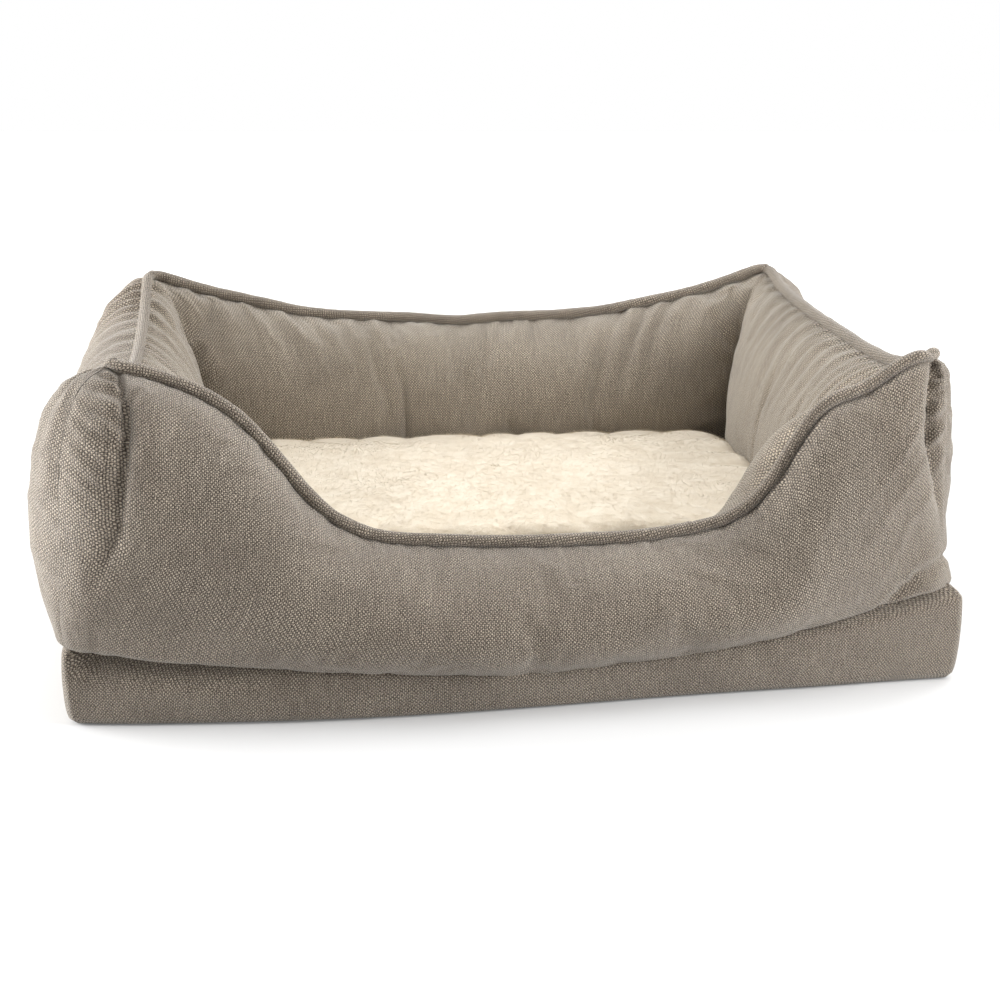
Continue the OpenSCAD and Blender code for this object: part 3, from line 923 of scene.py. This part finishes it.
def base_slab(name, low, high, up):
    """A thin panel of the base, cut to the same outline as the bands, with its edge turned over."""
    edge = []
    for wall in range(4):
        f, turn, u = columns(wall, 0.008)
        px, off = plan(wall, f[:-1], turn[:-1], base_d(wall, u[:-1]) - 0.002, 1.0)
        edge.append(placed(wall, px, off, 0.0))
    ring = np.concatenate(edge + [edge[0][:1]])
    middle = np.array([0.0, CENTRE_Y, 0.0])
    far, near = (low, high) if up else (high, low)
    rows = [(0.004, far), (0, (low + high) / 2)]
    rows += [(share, near) for share in (0.003, 0.06, 0.3, 0.65, 0.999)]
    p = np.stack([ring + (middle - ring) * share + np.array([0, 0, z]) for share, z in rows], 1)
    return grid_object(name, p, p[..., :2], not up)


for wall in range(4):
    band(wall)
low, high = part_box("base_bottom_panel")
slab = base_slab("base_underside_cover", low.z, high.z, False)
dress(slab, grip_cloth(), "bed", "underside_cloth", "base_bottom_panel")
low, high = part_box("base_deck_panel")
slab = base_slab("base_deck_cover", low.z - 0.002, high.z, True)
dress(slab, FABRIC["deck"], "bed", "taupe_weave", "base_deck_panel", "base_foam")


# ---- Zip coils and label ----


def zip_teeth():
    """Two rows of nylon loops that meet over the gap between the tapes."""
    low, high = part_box("base_zip_coils")
    pitch, wire, sides, steps = 0.0016, 0.00042, 6, 9
    y = (low.y + high.y) / 2
    side = np.array([1.0, 0, 0])
    verts, faces = [], []
    for way, start in ((-1, 1.0), (1, 0.5)):
        for k in range(int((high.x - low.x) / pitch)):
            x = low.x + (k + start) * pitch
            first = len(verts)
            for a in np.linspace(-0.25, 1.25, steps) * math.pi:
                across = way * (0.0016 - 0.0010 * math.sin(a))
                centre = np.array([x + 0.0003 * math.cos(a), y + 0.0006 * math.cos(a), ZIP_Z + across])
                ahead = np.array([0, -math.sin(a), -way * math.cos(a)])
                up = np.cross(ahead / np.linalg.norm(ahead), side)
                for b in np.arange(sides) * TURN / sides:
                    verts.append((centre + wire * (math.cos(b) * side + math.sin(b) * up)).tolist())
            for i in range(first, first + (steps - 1) * sides, sides):
                for j in range(sides):
                    a0, b0 = i + j, i + (j + 1) % sides
                    faces.append((a0, b0, b0 + sides, a0 + sides))
    return mesh_object("base_zip_teeth", verts, faces)


def care_label():
    """A blank tab that hangs from its top edge and curls away a little at its foot."""
    low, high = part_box("care_label")
    t = np.linspace(0, 1, 21)[:, None]
    w = np.linspace(0, 1, 15)[None, :]
    x = low.x + (high.x - low.x) * w + 0 * t
    y = high.y + 0.0022 + 0.0035 * t**2 + 0.0008 * np.sin(5 * w + 2 * t) * t
    z = low.z + (high.z - low.z) * (1 - t) + 0 * w
    ob = grid_object("care_label_tab", np.stack([x, y, z], -1), np.stack([x, z], -1))
    dress(ob, label_satin(), "bed", "label_satin", "care_label")


dress(zip_teeth(), zip_nylon(), "bed", "zip_nylon", "base_zip_coils")
care_label()


# ---- Cushion ----

low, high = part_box("cushion_fleece_top")
CUSHION_X, CUSHION_Y = (high.x - low.x) / 2, (high.y - low.y) / 2
MIDDLE_X, MIDDLE_Y = (high.x + low.x) / 2, (high.y + low.y) / 2
EDGE_Z = high.z - 0.010
SEAM_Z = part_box("cushion_side_band")[1].z
UNDER_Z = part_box("cushion_underside")[0].z


def outline(a):
    """Points of the cushion's outline, a soft-cornered rectangle, at angles a."""
    power = 12.0
    c, s = np.cos(a), np.sin(a)
    r = 1 / (np.abs(c / CUSHION_X) ** power + np.abs(s / CUSHION_Y) ** power) ** (1 / power)
    return r * c, r * s


def even_angles(count):
    """Angles of evenly spaced points of the outline, and the distance along it to each."""
    a = np.linspace(0, TURN, 4001)
    run = run_along(np.stack(outline(a), -1))
    even = np.linspace(0, run[-1], count + 1)
    return np.interp(even, run, a), even


def cushion_top():
    """The fleece top, from its seam up the skirt and in to the middle."""
    a, run = even_angles(360)
    t = np.linspace(0, 1, 60)[None, :] ** 1.15
    ex, ey = outline(a)
    x, y = ex[:, None] * (1 - t), ey[:, None] * (1 - t)
    inside = t * np.minimum(CUSHION_X, CUSHION_Y)
    z = EDGE_Z - 0.006 + 0.006 * np.sqrt(np.minimum(1, inside / 0.008))
    z = z + 0.010 * np.sin(np.minimum(1, inside / 0.13) * math.pi / 2)
    # scallops along the edge where the fleece is pulled down to its seam
    phase = math.pi * round(run[-1] / 0.058) * run / run[-1] + 1.2 * noise(2 * np.cos(a), 2 * np.sin(a), 5)
    scallops = 0.005 * (np.abs(np.sin(phase))[:, None] ** 0.7 - 0.7)
    z = z + scallops * np.exp(-inside / 0.022) * step(0.0, 0.004, inside)
    z = z + 0.0022 * noise(x / 0.07, y / 0.07, 11) * step(0, 0.03, inside)
    z = z + 0.0004 * noise(x / 0.012, y / 0.012, 12) * step(0, 0.01, inside)
    down = np.linspace(1, 0, 8, endpoint=False)[None, :]
    pull = 0.0022 * (1 - np.cos(TURN * down)) / 2
    k = 1 - pull / np.hypot(ex, ey)[:, None]
    px = np.concatenate([ex[:, None] * k, x], 1) + MIDDLE_X
    py = np.concatenate([ey[:, None] * k, y], 1) + MIDDLE_Y
    pz = np.concatenate([SEAM_Z + (z[:, :1] - SEAM_Z) * (1 - down), z], 1)
    return np.stack([px, py, pz], -1)


def strands(p, count, seed):
    """Short curved strands of pile that lie over the fleece, longer at its rim."""
    rng = np.random.default_rng(seed)
    m = p.shape[1]
    up_at = normals(p)
    up_at *= np.sign(up_at[..., 2:3] + 1e-9)
    quad = np.linalg.norm(np.cross(p[1:, :-1] - p[:-1, :-1], p[:-1, 1:] - p[:-1, :-1]), axis=-1)
    pick = rng.choice(quad.size, count, p=(quad / quad.sum()).ravel())
    i, j = pick // (m - 1), pick % (m - 1)
    fi, fj = rng.random(count)[:, None], rng.random(count)[:, None]

    def at(g):
        near = g[i, j] * (1 - fi) + g[i + 1, j] * fi
        far = g[i, j + 1] * (1 - fi) + g[i + 1, j + 1] * fi
        return near * (1 - fj) + far * fj

    root, up = at(p), at(up_at)
    up /= np.linalg.norm(up, axis=1, keepdims=True)
    angle = 1.4 * noise(root[:, 0] / 0.05, root[:, 1] / 0.05, 21) + rng.normal(0, 0.7, count) - 1.3
    lie = np.stack([np.cos(angle), np.sin(angle), 0 * angle], 1)
    lie -= up * (lie * up).sum(1, keepdims=True)
    lie /= np.linalg.norm(lie, axis=1, keepdims=True)
    from_x = np.abs(root[:, 0] - MIDDLE_X) - CUSHION_X
    from_y = np.abs(root[:, 1] - MIDDLE_Y) - CUSHION_Y
    longer = 1 + 1.2 * step(0, 0.014, np.maximum(from_x, from_y) + 0.016)[:, None]
    length = rng.uniform(0.0018, 0.0034, count)[:, None] * longer
    half = np.cross(up, lie) * rng.uniform(0.00012, 0.00024, count)[:, None]
    rise = rng.uniform(0.2, 0.5, count)[:, None]
    bend = root + length * (0.45 * lie + 0.55 * rise * up)
    tip = root + length * (0.95 * lie + 0.62 * rise * up)
    verts = np.stack([root - half, root + half, bend - half * 0.9, bend + half * 0.9, tip], 1)
    first = np.arange(count)[:, None] * 5
    faces = (first + np.array([[0, 1, 3, 2]])).tolist() + (first + np.array([[2, 3, 4]])).tolist()
    return mesh_object("cushion_fleece_pile", verts.reshape(-1, 3).tolist(), faces)


def cushion_lower():
    """The cushion's gathered side and its underside, with the distances round and down it as UVs."""
    a, run = even_angles(280)
    v = np.linspace(0, 1, 24)[None, :]
    ex, ey = (c[:, None] for c in outline(a))
    reach = np.hypot(ex, ey)
    once = TURN * run[:, None] / run[-1]
    gather = np.sin(round(run[-1] / 0.031) * once)
    inset = 0.0005 + 0.003 * np.cos(math.pi * v) ** 4 + 0.0007 * gather * np.sin(math.pi * v)
    k = 1 - inset / reach
    z = UNDER_Z + (SEAM_Z + 0.001 - UNDER_Z) * (1 - v) + 0 * ex
    side = np.stack([ex * k + MIDDLE_X, ey * k + MIDDLE_Y, z], -1)
    inward = np.linspace(0, 1, 24)[None, 1:]
    k = (1 - 0.0035 / reach) * (1 - inward)
    z = UNDER_Z + 0.0012 * np.exp(-inward * 10) * np.cos(round(run[-1] / 0.04) * once) ** 2
    belly = np.stack([ex * k + MIDDLE_X, ey * k + MIDDLE_Y, z], -1)
    p = np.concatenate([side, belly], 1)
    steps = np.linalg.norm(np.diff(p, axis=1), axis=-1)
    down = np.cumsum(np.concatenate([np.zeros((len(run), 1)), steps], 1), 1)
    return p, np.stack([run[:, None] + 0 * down, down], -1)


top = cushion_top()
fleece_top = grid_object("cushion_fleece_cover", top, top[..., :2])
pile = strands(top, 60000, 7)
lower = grid_object("cushion_lower_cover", *cushion_lower(), True)
dress(fleece_top, CREAM, "cushion", "cream_fleece", "cushion_fleece_top", "cushion_fill")
dress(pile, PILE, "cushion", "cream_fleece")
dress(lower, COTTON, "cushion", "cream_cotton", "cushion_side_band", "cushion_underside")


# ---- Studio ----

scene = bpy.context.scene


def studio_sheet(name, corners, low, high, scale):
    """A flat matt sheet of the set, with slight cloudy shading between two greys."""
    ob = mesh_object(name, corners, [(0, 1, 2, 3)])
    g = Graph(name + "_paint")
    cloud = g.smooth(g.noise(g.place(), scale), 0.3, 0.7)
    ob.data.materials.append(g.finish(g.mix(cloud, (low, low, low, 1), (high, high, high, 1)), 0.9))
    return ob, g


def studio_floor():
    """A pale floor that glows more with distance, so that it runs into the white backdrop."""
    z = -0.0005
    g = studio_sheet("studio_floor", [(-6, -6, z), (6, -6, z), (6, 6, z), (-6, 6, z)], 0.60, 0.62, 2.0)[1]
    g.shader.inputs["Emission Color"].default_value = (1, 1, 1, 1)
    away = g.node("ShaderNodeVectorMath", {0: g.place()}, operation="LENGTH").outputs["Value"]
    g.join(g.smooth(away, 0.7, 2.2, 0.12, 0.9), g.shader.inputs["Emission Strength"])


def studio_flag():
    """A dark sheet in front of the set that shades the front wall and stays out of the picture."""
    corners = [(-4, -3.2, 0), (4, -3.2, 0), (4, -2.6, 3.6), (-4, -2.6, 3.6)]
    studio_sheet("studio_flag", corners, 0.05, 0.06, 3.0)[0].visible_camera = False


def backdrop():
    world = bpy.data.worlds.new("studio")
    scene.world = world
    world.use_nodes = True
    white = world.node_tree.nodes["Background"]
    white.inputs[0].default_value = (1, 1, 1, 1)
    white.inputs[1].default_value = 1.0


def lamp(name, at, toward, size, power):
    data = bpy.data.lights.new(name, "AREA")
    data.shape = "RECTANGLE"
    data.size, data.size_y = size
    data.energy = power
    ob = bpy.data.objects.new(name, data)
    scene.collection.objects.link(ob)
    ob.location = at
    ob.rotation_euler = (Vector(toward) - Vector(at)).to_track_quat("-Z", "Y").to_euler()


def camera(at, yaw, pitch, roll, lens):
    """A camera that looks along +Y, turned right by yaw, down by pitch, and rolled, in radians."""
    data = bpy.data.cameras.new("camera")
    data.lens = lens
    data.sensor_width = 36
    ob = bpy.data.objects.new("camera", data)
    scene.collection.objects.link(ob)
    ahead = np.array([math.sin(yaw) * math.cos(pitch), math.cos(yaw) * math.cos(pitch), -math.sin(pitch)])
    level = np.array([math.cos(yaw), -math.sin(yaw), 0])
    above = np.cross(level, ahead)
    right = math.cos(roll) * level + math.sin(roll) * above
    up = -math.sin(roll) * level + math.cos(roll) * above
    ob.matrix_world = Matrix([(right[i], up[i], -ahead[i], at[i]) for i in range(3)] + [(0, 0, 0, 1)])
    scene.camera = ob


studio_floor()
studio_flag()
backdrop()
lamp("top_soft", (0.0, 0.0, 2.2), (0, 0, 0.1), (2.0, 1.4), 16)
lamp("left_soft", (-1.7, 0.1, 0.5), (0, 0, 0.15), (1.2, 0.9), 52)
lamp("right_soft", (1.25, -0.8, 0.65), (0.1, -0.1, 0.12), (0.7, 0.7), 19)
lamp("right_back_soft", (1.6, 0.9, 1.1), (0, 0, 0.1), (1.0, 1.0), 17)
camera((-0.1906, CENTRE_Y - 1.4033, 0.506), 0.1393, 0.2877, 0.0102, 59.17)
scene.view_settings.view_transform = "Standard"
scene.view_settings.look = "None"
